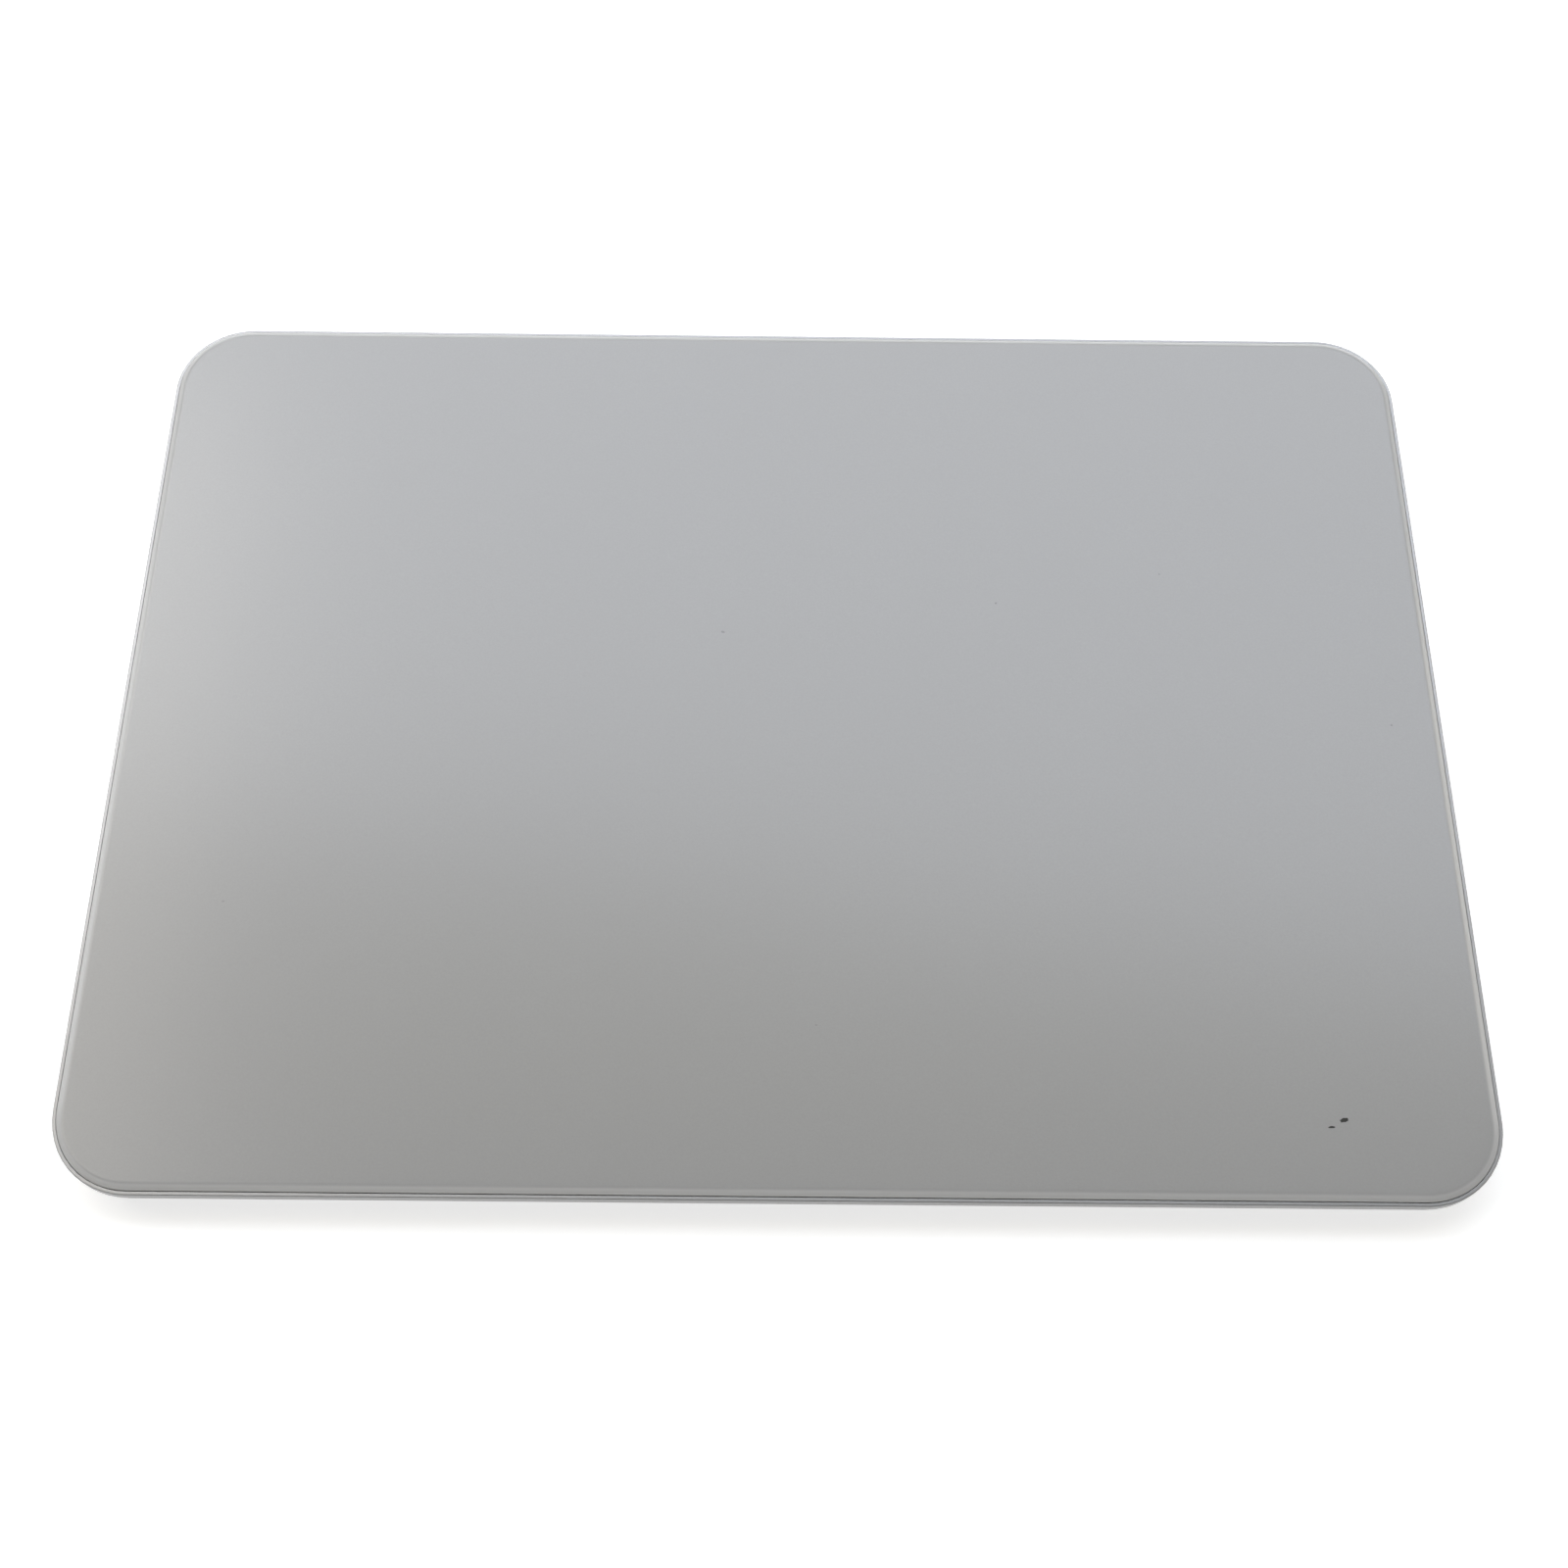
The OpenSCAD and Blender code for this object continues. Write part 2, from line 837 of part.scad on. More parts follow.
// A bar behind the two coils, a strip under the web and a drop to its connector
module haptic_flex() {
    coil_rear = actuator_y + leg_w / 2 + close_fit + winding_t;
    strip_l = connector_row - coil_rear;
    color("goldenrod") {
        on_plate() {
            block(0, coil_rear + flex_bar_d / 2, 2 * core_x + leg_l, flex_bar_d,
                web_under - flex_t, web_under);
            block(0, coil_rear + strip_l / 2, haptic_flex_w, strip_l,
                web_under - flex_t, web_under);
        }
        flex_drop(0, connector_row - flex_t, haptic_flex_w, 2 * flex_t);
    }
}

module haptic_armature() {
    color("slategray")
        on_plate()
            block(0, actuator_y, armature_w, leg_w, plate_under - armature_h, plate_under);
}

// Force sensing

module flexure(sx, sy) {
    color("lightgray")
        on_plate()
            difference() {
                block(sx * (root_x + flexure_l / 2), sy * strip_y, flexure_l, flexure_w,
                    strip_under, strip_top);
                for (side = [-1, 1])
                    translate([sx * flexure_screw_x, sy * strip_y + side * flexure_screw_y, 0])
                        screw_hole(strip_under - over, strip_top + over);
            }
}

module strain_gauge(sx, sy) {
    color("darkorange")
        on_plate()
            block(sx * gauge_x, sy * strip_y, gauge_l, gauge_w, strip_under - gauge_t, strip_under);
}

module flexure_screws() {
    color("lightsteelblue")
        on_plate()
            for (sx = [-1, 1], sy = [-1, 1], side = [-1, 1])
                translate([sx * flexure_screw_x, sy * strip_y + side * flexure_screw_y, strip_top])
                    screw(strip_top - web_under);
}

// A strip under the web that joins two gauges, with a riser to each and a tail to its connector
module gauge_flex(sx) {
    low = web_under - flex_t;
    tail_l = gauge_x - post_x + gauge_flex_w / 2;
    run_l = max(board_mid, strip_y) + strip_y + gauge_flex_w;
    color("goldenrod") {
        on_plate() {
            block(sx * gauge_x, (run_l - gauge_flex_w) / 2 - strip_y, gauge_flex_w, run_l, low, web_under);
            block(sx * (post_x + tail_l / 2), board_mid, tail_l, gauge_flex_w, low, web_under);
            for (sy = [-1, 1])
                block(sx * gauge_x, sy * strip_y, gauge_flex_w, gauge_flex_w / 2, low, strip_under - gauge_t);
        }
        flex_drop(sx * post_x, board_mid, 2 * flex_t, connector_d);
    }
}

module isolation_pad(sx, sy) {
    color("whitesmoke")
        on_plate()
            translate([sx * iso_pad_x, sy * strip_y, strip_top])
                cylinder(h = plate_under - strip_top, d = iso_pad_dia);
}

// Touch plate

module touch_glass() {
    color("white")
        on_plate() {
            plate_slab(glass_inset, glass_under, -glass_bevel_drop);
            translate([0, 0, -glass_bevel_drop])
                bevelled(pad_w - 2 * glass_inset, slope_d - 2 * glass_inset, corner_r - glass_inset,
                    glass_bevel_drop, glass_bevel_w);
        }
}

module glass_adhesive() {
    color("white")
        on_plate()
            plate_slab(sensor_inset, sensor_top, glass_under);
}

module sensor_board() {
    color("darkgreen")
        on_plate()
            plate_slab(sensor_inset, sensor_under, sensor_top);
}

// A chip on the sensor board's underside, in a window of the stiffener
module touch_controller(sx) {
    color("dimgray")
        on_plate()
            block(sx * chip_x, chip_y, chip_w, chip_w, plate_under + close_fit, sensor_under);
}

module stiffener_window(x, y, w, d) {
    block(x, y, w, d, plate_under - over, sensor_under + over);
}

module stiffener() {
    chip_window = chip_w + 2 * window_room;
    color("lightsteelblue")
        on_plate()
            difference() {
                plate_slab(sensor_inset + stiffener_step, plate_under, sensor_under);
                for (sx = [-1, 1])
                    stiffener_window(sx * chip_x, chip_y, chip_window, chip_window);
                stiffener_window(touch_connector_x, board_mid, touch_flex_w + 2 * window_room, flex_window_d);
            }
}

// A loop of flexible circuit from the sensor board's underside to its connector on the logic board
module touch_flex() {
    tab_l = connector_d / 2;
    loop_top = glass_z(board_mid - tab_l) + sensor_under / cos(tilt) - close_fit;
    loop_r = (loop_top - connector_top) / 2;
    color("goldenrod")
        translate([touch_connector_x - touch_flex_w / 2, board_mid, connector_top + loop_r])
            rotate([90, 0, 90])
                linear_extrude(touch_flex_w) {
                    intersection() {
                        difference() {
                            circle(loop_r);
                            circle(loop_r - flex_t);
                        }
                        translate([0, -loop_r])
                            square(2 * loop_r);
                    }
                    for (level = [-loop_r, loop_r - flex_t])
                        translate([-tab_l, level])
                            square([tab_l, flex_t]);
                }
}

enclosure();
bottom_cover();
cover_adhesive();
foot(-1, -1);  // foot_front_left
foot(1, -1);  // foot_front_right
foot(-1, 1);  // foot_rear_left
foot(1, 1);  // foot_rear_right
battery_cell();
battery_tape(-1);  // battery_tape_left
battery_tape(1);  // battery_tape_right
protection_board();
battery_lead();
logic_board();
board_screws();
main_controller();
radio_shield();
charge_controller();
chip_antenna();
battery_connector();
touch_connector();
haptic_connector();
gauge_connector(-1);  // gauge_connector_left
gauge_connector(1);  // gauge_connector_right
port_shell();
port_tongue();
port_contacts();
switch_housing();
switch_slider();
haptic_core(-1);  // haptic_core_left
haptic_core(1);  // haptic_core_right
haptic_coil(-1);  // haptic_coil_left
haptic_coil(1);  // haptic_coil_right
haptic_bracket();
haptic_screws();
haptic_flex();
flexure(-1, -1);  // flexure_front_left
flexure(1, -1);  // flexure_front_right
flexure(-1, 1);  // flexure_rear_left
flexure(1, 1);  // flexure_rear_right
strain_gauge(-1, -1);  // strain_gauge_front_left
strain_gauge(1, -1);  // strain_gauge_front_right
strain_gauge(-1, 1);  // strain_gauge_rear_left
strain_gauge(1, 1);  // strain_gauge_rear_right
flexure_screws();
gauge_flex(-1);  // gauge_flex_left
gauge_flex(1);  // gauge_flex_right
isolation_pad(-1, -1);  // isolation_pad_front_left
isolation_pad(1, -1);  // isolation_pad_front_right
isolation_pad(-1, 1);  // isolation_pad_rear_left
isolation_pad(1, 1);  // isolation_pad_rear_right
touch_glass();
glass_adhesive();
sensor_board();
touch_controller(-1);  // touch_controller_left
touch_controller(1);  // touch_controller_right
stiffener();
haptic_armature();
touch_flex();
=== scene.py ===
import json
import math

import bmesh
import bpy
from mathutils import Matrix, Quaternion, Vector


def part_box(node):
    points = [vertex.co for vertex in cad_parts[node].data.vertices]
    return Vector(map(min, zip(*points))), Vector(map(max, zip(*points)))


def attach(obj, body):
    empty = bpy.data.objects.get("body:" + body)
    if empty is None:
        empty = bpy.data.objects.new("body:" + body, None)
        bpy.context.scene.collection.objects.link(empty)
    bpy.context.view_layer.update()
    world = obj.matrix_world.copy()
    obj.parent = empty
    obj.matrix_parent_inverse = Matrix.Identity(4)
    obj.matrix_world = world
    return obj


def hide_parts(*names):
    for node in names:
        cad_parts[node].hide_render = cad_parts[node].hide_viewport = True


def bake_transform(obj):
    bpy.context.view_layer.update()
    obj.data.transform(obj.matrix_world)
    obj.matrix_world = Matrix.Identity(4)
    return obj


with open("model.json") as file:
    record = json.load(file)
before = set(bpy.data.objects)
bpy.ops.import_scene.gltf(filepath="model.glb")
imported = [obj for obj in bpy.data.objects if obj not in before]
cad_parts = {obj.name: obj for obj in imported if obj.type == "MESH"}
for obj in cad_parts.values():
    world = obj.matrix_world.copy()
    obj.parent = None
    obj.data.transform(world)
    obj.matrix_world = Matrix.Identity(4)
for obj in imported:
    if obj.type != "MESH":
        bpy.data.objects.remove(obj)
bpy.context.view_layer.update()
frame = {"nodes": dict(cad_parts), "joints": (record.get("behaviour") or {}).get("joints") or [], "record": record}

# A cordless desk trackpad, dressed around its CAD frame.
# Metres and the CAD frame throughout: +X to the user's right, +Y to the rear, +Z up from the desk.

MM = 0.001

# Camera at the photograph's viewing angle: focal length and sensor width in millimetres, turns in degrees
LENS = 42.32
SENSOR = 36.0
CAMERA_PLACE = (-0.43 * MM, -107.85 * MM, 202.8 * MM)
CAMERA_TURN = (27.011, -0.424, 0.419)
CAMERA_NEAR = 0.01

# Studio lights: name, place, point aimed at, width and depth, turn in degrees, power in watts, colour
LIGHTS = (
    ("rear_softbox", (0.0, 0.55, 0.70), (0.0, 0.55, 0.0), (1.20, 0.70), -8, 8.3, (0.87, 0.915, 1.0)),
    ("near_softbox", (0.10, 0.13, 0.70), (0.10, 0.13, 0.0), (0.70, 0.14), 0, 0.18, (1.0, 0.90, 0.50)),
    ("left_softbox", (-0.45, 0.18, 0.60), (-0.45, 0.18, 0.0), (0.36, 0.54), 0, 1.92, (1.0, 0.945, 0.85)),
    ("left_strip", (-0.75, 0.25, 0.40), (0.0, 0.0, 0.0), (0.30, 0.60), 0, 1.05, (1.0, 1.0, 1.0)),
    ("right_strip", (0.75, 0.25, 0.40), (0.0, 0.0, 0.0), (0.30, 0.60), 0, 0.85, (1.0, 0.93, 0.80)),
    ("front_strip", (0.0, -0.70, 0.55), (0.0, 0.0, 0.0), (1.20, 0.20), 0, 0.30, (1.0, 0.97, 0.92)),
)

# Sky: its strength fades from the horizon up, between two heights on a unit sphere
SKY_COLOUR = (1.0, 0.985, 0.94)
SKY_HEIGHTS = (0.05, 0.55)
SKY_STRENGTHS = (0.72, 0.02)

# Pale floor and backdrop that glow by themselves
FLOOR_RADIUS = 1.6
FLOOR_STEPS = 96
FLOOR_COLOUR = (0.64, 0.64, 0.638)
FLOOR_GLOW = 0.66
BACKDROP_RADIUS = 2.5
BACKDROP_SEGMENTS = 64
BACKDROP_RINGS = 32
BACKDROP_GLOW = 0.74

# Glass edge, from the flat face out and down
GLASS_CORNER = 8.85 * MM
GLASS_SWELL = 0.062 * MM
BEVEL_WIDTH = 0.62 * MM
BEVEL_DROP = 0.35 * MM
BEVEL_BLEND = 0.38 * MM
EDGE_ROUND = 0.03 * MM
CORNER_STEPS = 24
ARC_STEPS = 8

# Slopes of the glass, in degrees from its face, over which one colour passes into the next: the face into the
# paler bevel, whose paleness is a painted highlight, and the bevel into the white sides
FACE_TO_BEVEL_HIGHLIGHT = (1.5, 18)
BEVEL_TO_SIDE = (40, 80)

# Dark marks on the glass, in millimetres and degrees:
# place across and along the plate, half length, half height, turn, strength from 0 to 1
MARKS = (
    (62.37, -48.18, 0.50, 0.23, 12, 1.0),
    (60.88, -48.98, 0.38, 0.13, 4, 1.0),
    (-7.40, 12.20, 0.22, 0.15, -20, 0.28),
    (26.45, 16.65, 0.15, 0.14, 0, 0.30),
    (47.15, 21.05, 0.12, 0.12, 0, 0.25),
    (73.70, 0.30, 0.15, 0.12, 0, 0.25),
    (4.15, -37.90, 0.14, 0.10, 0, 0.20),
    (-64.30, -23.80, 0.16, 0.10, 0, 0.20),
)

# Ragged outline of the marks: the grain and range of its noise, and its depth, in shares of the mark's size
RAGGED_GRAIN = 0.3 * MM
RAGGED_RANGE = (0.2, 0.8)
RAGGED_DEPTH = 0.3
# Where a mark fades out, in shares of its size
MARK_FADE = (0.85, 1.1)

# How copies of the CAD shapes are welded, flattened, rounded and shaded
WELD = 0.5e-6
FLAT_ANGLE = math.radians(0.3)
SHARP_ANGLE = math.radians(32)
SMOOTH_ANGLE = math.radians(35)
ROUND_STEPS = 3
ROUND_PROFILE = 0.5
FLAT_WEIGHT = 100

# How far a point may lie from a level that it counts as part of
LEVEL_SLACK = 0.02 * MM
# A face is a wall where its normal has less than this share of the plate's up direction
WALL_LEAN = 0.5

# Fine rounding of the sharp edges that show
RIM_ROUND = 0.13 * MM
SLIT_ROUND = 0.03 * MM
OPENING_ROUND = 0.06 * MM
CORNERS = ("front_left", "front_right", "rear_left", "rear_right")
PIECE_ROUNDS = {
    "bottom_cover": 0.09 * MM,
    **{"foot_" + corner: 0.2 * MM for corner in CORNERS},
    "port_shell": 0.04 * MM,
    "port_tongue": 0.06 * MM,
    "switch_slider": 0.08 * MM,
}

# Springs and the touch circuit, which bend as the plate goes down
BEND_START = 55.0 * MM
BEND_END = 65.5 * MM
BEND_STEPS = 8

# Share of the switch's travel at which the edge of its green patch starts
PATCH_EDGE = 0.95

# Texture settings: the middle range of a noise, and how fast a wave texture turns, in radians
NOISE_RANGE = (0.3, 0.7)
WAVE_RATE = 20


class Look:
    """One material: a principled shader, with short calls that add and link the nodes before it."""

    def __init__(self, name, colour, roughness, metallic=0.0):
        self.material = bpy.data.materials.new(name + "_finish")
        self.material.use_nodes = True
        self.tree = self.material.node_tree
        self.shader = self.tree.nodes["Principled BSDF"]
        self.put(self.shader, {"Base Color": (*colour, 1.0), "Roughness": roughness, "Metallic": metallic})
        coordinates = self.add("TexCoord")
        self.places = coordinates.outputs["Object"]
        self.normals = coordinates.outputs["Normal"]

    def put(self, node, inputs):
        """Sets or links a node's inputs, by name or number."""
        for key, value in inputs.items():
            if isinstance(value, bpy.types.NodeSocket):
                self.tree.links.new(value, node.inputs[key])
            else:
                node.inputs[key].default_value = value

    def add(self, kind, inputs=None, **settings):
        """Adds a node of a kind, with its settings and inputs."""
        node = self.tree.nodes.new("ShaderNode" + kind)
        for name, value in settings.items():
            setattr(node, name, value)
        self.put(node, inputs or {})
        return node

    def noise(self, size, detail, stretch=(1, 1, 1)):
        """Soft noise with features of about that size in metres."""
        scaled = self.add("Mapping", {"Vector": self.places, "Scale": stretch})
        node = self.add("TexNoise", {"Vector": scaled.outputs[0], "Scale": 1 / size, "Detail": detail})
        return node.outputs[0]

    def cells(self, size):
        """Distance from the middles of scattered cells of about that size, in cell sizes."""
        node = self.add("TexVoronoi", {"Vector": self.places, "Scale": 1 / size})
        return node.outputs["Distance"]

    def bands(self, pitch, direction, distortion=0.0):
        """Parallel bands across a direction, at a pitch in metres."""
        scale = 2 * math.pi / (WAVE_RATE * pitch)
        inputs = {"Vector": self.places, "Scale": scale, "Distortion": distortion}
        node = self.add("TexWave", inputs, bands_direction=direction)
        return node.outputs["Fac"]

    def spread(self, value, low, high, start=0.0, end=1.0):
        """A number that goes from low to high as a value goes from start to end."""
        inputs = {"Value": value, "From Min": start, "From Max": end, "To Min": low, "To Max": high}
        return self.add("MapRange", inputs).outputs[0]

    def vary(self, noise, low, high):
        """A number that a noise takes from low to high."""
        return self.spread(noise, low, high, *NOISE_RANGE)

    def combine(self, operation, first, second):
        """Two numbers put together by a math node."""
        return self.add("Math", {0: first, 1: second}, operation=operation).outputs[0]

    def tint(self, factor, first, second):
        """A colour between two others."""
        colours = [c if isinstance(c, bpy.types.NodeSocket) else (*c, 1.0) for c in (first, second)]
        node = self.add("Mix", {0: factor, 6: colours[0], 7: colours[1]}, data_type="RGBA")
        return node.outputs[2]

    def mottle(self, noise, base, dark, light):
        """A colour that a noise takes from a darker to a lighter shade of the base."""
        return self.tint(self.vary(noise, 0, 1), shade(base, dark), shade(base, light))

    def colour(self, socket):
        """Links the shader's colour."""
        self.put(self.shader, {"Base Color": socket})

    def roughness(self, socket):
        """Links the shader's roughness."""
        self.put(self.shader, {"Roughness": socket})

    def glow(self, strength):
        """Adds a white glow of that strength."""
        self.put(self.shader, {"Emission Color": (1, 1, 1, 1), "Emission Strength": strength})

    def relief(self, height, depth):
        """Bump of that depth in metres."""
        node = self.add("Bump", {"Height": height, "Distance": depth, "Strength": 1.0})
        self.put(self.shader, {"Normal": node.outputs[0]})


def shade(colour, factor):
    """A colour made lighter or darker."""
    return tuple(channel * factor for channel in colour)


# Directions and sizes read from the frame

def joint_row(name):
    """The frame's row of a joint."""
    return next(joint for joint in frame["joints"] if joint["name"] == name)


def plate_axes():
    """The touch plate's own directions: across, along its slope, and up out of the glass."""
    up = -Vector(joint_row("plate_press")["axis"]).normalized()
    across = Vector((1, 0, 0))
    return across, up.cross(across), up


ACROSS, ALONG, UP = plate_axes()


def reach(node, direction):
    """The lowest and highest place of a CAD node's points along a direction."""
    places = [vertex.co.dot(direction) for vertex in frame["nodes"][node].data.vertices]
    return min(places), max(places)


# Materials: one function for each slot, by the slot's name

def anodised_aluminium():
    """Bead-blasted metal with a fine even grain."""
    silver = (0.39, 0.39, 0.393)
    look = Look("anodised_aluminium", silver, 0.5, metallic=1.0)
    grain = look.noise(0.14 * MM, detail=3)
    cloud = look.noise(14 * MM, detail=3)
    look.colour(look.mottle(cloud, silver, 0.985, 1.01))
    look.roughness(look.vary(grain, 0.44, 0.56))
    look.relief(grain, 0.006 * MM)
    return look.material


def mark_mask(look):
    """How much of each point of the glass the marks cover."""
    covered = 0.0
    ragged = look.spread(look.noise(RAGGED_GRAIN, detail=2), -RAGGED_DEPTH, RAGGED_DEPTH, *RAGGED_RANGE)
    for across, along, length, height, turn, strength in MARKS:
        inputs = {
            "Vector": look.places,
            "Location": ACROSS * across * MM + ALONG * along * MM,
            "Rotation": (0, 0, math.radians(turn)),
            "Scale": (length * MM, height * MM, 1.0),
        }
        local = look.add("Mapping", inputs, vector_type="TEXTURE")
        flat = look.add("VectorMath", {0: local.outputs[0], 1: (1, 1, 0)}, operation="MULTIPLY")
        distance = look.add("VectorMath", {0: flat.outputs[0]}, operation="LENGTH").outputs["Value"]
        distance = look.combine("ADD", distance, ragged)
        covered = look.combine("MAXIMUM", covered, look.spread(distance, strength, 0.0, *MARK_FADE))
    return covered


def slope_mask(look, start, end):
    """How far the surface has turned from the plate's face, between two angles in degrees."""
    facing = look.add("VectorMath", {0: look.normals, 1: UP}, operation="DOT_PRODUCT").outputs["Value"]
    return look.spread(facing, 0, 1, math.cos(math.radians(start)), math.cos(math.radians(end)))


def white_glass():
    """Satin glass over a white print, with small dark marks, and a paler colour on its ground bevel that is a
    painted highlight along the edge.
    """
    face = (0.358, 0.357, 0.356)
    # The bevel's paler colour is a painted highlight: it stands in for the bright band that light makes along the
    # glass edge
    bevel = (0.53, 0.53, 0.527)
    side = (0.85, 0.85, 0.85)
    ink = (0.006, 0.006, 0.006)
    look = Look("white_glass", face, 0.30)
    look.put(look.shader, {"IOR": 1.5, "Coat Weight": 0.4, "Coat Roughness": 0.19})
    cloud = look.noise(22 * MM, detail=3)
    grain = look.noise(0.22 * MM, detail=2)
    tone = look.tint(cloud, shade(face, 0.98), shade(face, 1.02))
    grained = look.tint(look.spread(grain, 0, 1, 0.25, 0.75), shade(face, 0.95), tone)
    marked = look.tint(mark_mask(look), grained, ink)
    # Painted highlight: the face's colour turns into the paler bevel colour where the surface slopes away from the
    # face
    with_highlight = look.tint(slope_mask(look, *FACE_TO_BEVEL_HIGHLIGHT), marked, bevel)
    look.colour(look.tint(slope_mask(look, *BEVEL_TO_SIDE), with_highlight, side))
    look.roughness(look.spread(look.noise(5 * MM, detail=2), 0.27, 0.31))
    look.relief(grain, 0.004 * MM)
    return look.material


def moulded_plastic(name, base, grain, roughness, depth):
    """A moulded plastic with a fine eroded surface."""
    look = Look(name, base, roughness)
    texture = look.noise(grain, detail=3)
    cloud = look.noise(16 * MM, detail=3)
    look.colour(look.mottle(cloud, base, 0.985, 1.01))
    look.roughness(look.vary(texture, roughness - 0.06, roughness + 0.08))
    look.relief(texture, depth)
    return look.material


def white_plastic():
    white = (0.64, 0.64, 0.632)
    return moulded_plastic("white_plastic", white, grain=0.28 * MM, roughness=0.52, depth=0.012 * MM)


def connector_plastic():
    cream = (0.66, 0.60, 0.46)
    return moulded_plastic("connector_plastic", cream, grain=0.12 * MM, roughness=0.45, depth=0.004 * MM)


def port_plastic():
    black = (0.022, 0.022, 0.023)
    return moulded_plastic("port_plastic", black, grain=0.12 * MM, roughness=0.42, depth=0.004 * MM)


def antenna_ceramic():
    ivory = (0.74, 0.71, 0.64)
    return moulded_plastic("antenna_ceramic", ivory, grain=0.09 * MM, roughness=0.35, depth=0.003 * MM)


def chip_resin():
    black = (0.028, 0.028, 0.03)
    return moulded_plastic("chip_resin", black, grain=0.07 * MM, roughness=0.55, depth=0.004 * MM)


def soft_rubber(name, base, grain):
    """A matt rubber with a faint bloom of dust."""
    look = Look(name, base, 0.8)
    texture = look.noise(grain, detail=4)
    dust = look.noise(2.2 * MM, detail=4)
    look.colour(look.tint(look.spread(dust, 0, 1, 0.45, 0.75), base, shade(base, 1.05)))
    look.roughness(look.vary(dust, 0.72, 0.9))
    look.relief(texture, 0.015 * MM)
    return look.material


def foot_rubber():
    return soft_rubber("foot_rubber", (0.58, 0.58, 0.57), grain=0.2 * MM)


def pad_silicone():
    return soft_rubber("pad_silicone", (0.68, 0.68, 0.67), grain=0.3 * MM)


def bonding_film(name, base, pore):
    """A bonding film or foam tape with small pores."""
    look = Look(name, base, 0.7)
    pores = look.cells(pore)
    cloud = look.noise(6 * MM, detail=3)
    look.colour(look.mottle(cloud, base, 0.9, 1.08))
    look.roughness(look.vary(cloud, 0.62, 0.78))
    look.relief(look.spread(pores, 0, 1, 0.1, 0.5), 0.02 * MM)
    return look.material


def adhesive():
    return bonding_film("adhesive", (0.02, 0.02, 0.02), pore=0.35 * MM)


def clear_adhesive():
    return bonding_film("clear_adhesive", (0.76, 0.76, 0.73), pore=0.8 * MM)


def cell_pouch():
    """A dark laminate pouch with shallow dents."""
    foil = (0.045, 0.048, 0.052)
    look = Look("cell_pouch", foil, 0.38)
    dents = look.noise(7 * MM, detail=3)
    weave = look.noise(0.4 * MM, detail=2)
    look.colour(look.mottle(dents, foil, 0.85, 1.2))
    look.roughness(look.vary(weave, 0.32, 0.46))
    look.relief(dents, 0.12 * MM)
    return look.material


def circuit_board():
    """A green board with raised traces and scattered gold pads."""
    mask = (0.012, 0.075, 0.030)
    trace = (0.018, 0.12, 0.045)
    gold = (0.85, 0.60, 0.22)
    look = Look("circuit_board", mask, 0.35)
    lines = look.spread(look.bands(0.55 * MM, "DIAGONAL", distortion=2.5), 0, 1, 0.72, 0.82)
    pads = look.spread(look.cells(3.2 * MM), 1, 0, 0.10, 0.13)
    look.colour(look.tint(pads, look.tint(lines, mask, trace), gold))
    look.put(look.shader, {"Metallic": pads})
    look.roughness(look.vary(look.noise(1.5 * MM, detail=3), 0.28, 0.42))
    look.relief(look.combine("MAXIMUM", lines, pads), 0.03 * MM)
    return look.material


def brushed_sheet(name, base, roughness, stretch):
    """A rolled or ground metal sheet with fine lines along one direction."""
    look = Look(name, base, roughness, metallic=1.0)
    lines = look.noise(0.1 * MM, detail=3, stretch=stretch)
    cloud = look.noise(5 * MM, detail=3)
    look.colour(look.mottle(cloud, base, 0.9, 1.06))
    look.roughness(look.vary(lines, roughness - 0.08, roughness + 0.1))
    look.relief(lines, 0.004 * MM)
    return look.material


def shield_steel():
    return brushed_sheet("shield_steel", (0.62, 0.62, 0.60), roughness=0.32, stretch=(0.08, 1, 1))


def spring_steel():
    return brushed_sheet("spring_steel", (0.52, 0.52, 0.53), roughness=0.30, stretch=(1, 0.05, 1))


def core_steel():
    return brushed_sheet("core_steel", (0.28, 0.285, 0.30), roughness=0.48, stretch=(0.05, 1, 1))


def screw_steel():
    return brushed_sheet("screw_steel", (0.50, 0.51, 0.53), roughness=0.28, stretch=(1, 1, 0.3))


def gold_plate():
    return brushed_sheet("gold_plate", (0.88, 0.62, 0.24), roughness=0.24, stretch=(1, 0.1, 1))


def copper_winding():
    """Turns of copper wire with dark gaps between them."""
    copper = (0.62, 0.24, 0.11)
    gap = (0.16, 0.05, 0.02)
    look = Look("copper_winding", copper, 0.30, metallic=1.0)
    turns = look.bands(0.16 * MM, "X")
    look.colour(look.tint(look.spread(turns, 0, 1, 0.05, 0.6), gap, copper))
    look.roughness(look.vary(look.noise(0.5 * MM, detail=3), 0.24, 0.4))
    look.relief(turns, 0.05 * MM)
    return look.material


def trace_film(name, film, trace, pitch, direction):
    """A polymer film with metal lines under it."""
    look = Look(name, film, 0.34)
    lines = look.spread(look.bands(pitch, direction), 0, 1, 0.55, 0.7)
    cloud = look.noise(3 * MM, detail=3)
    tone = look.mottle(cloud, film, 0.9, 1.1)
    look.colour(look.tint(lines, tone, trace))
    look.roughness(look.vary(cloud, 0.28, 0.42))
    look.relief(lines, 0.015 * MM)
    return look.material


def flex_circuit():
    amber = (0.34, 0.13, 0.02)
    copper = (0.52, 0.24, 0.05)
    return trace_film("flex_circuit", amber, copper, pitch=0.5 * MM, direction="X")


def gauge_foil():
    amber = (0.42, 0.17, 0.03)
    foil = (0.60, 0.52, 0.40)
    return trace_film("gauge_foil", amber, foil, pitch=0.3 * MM, direction="Y")


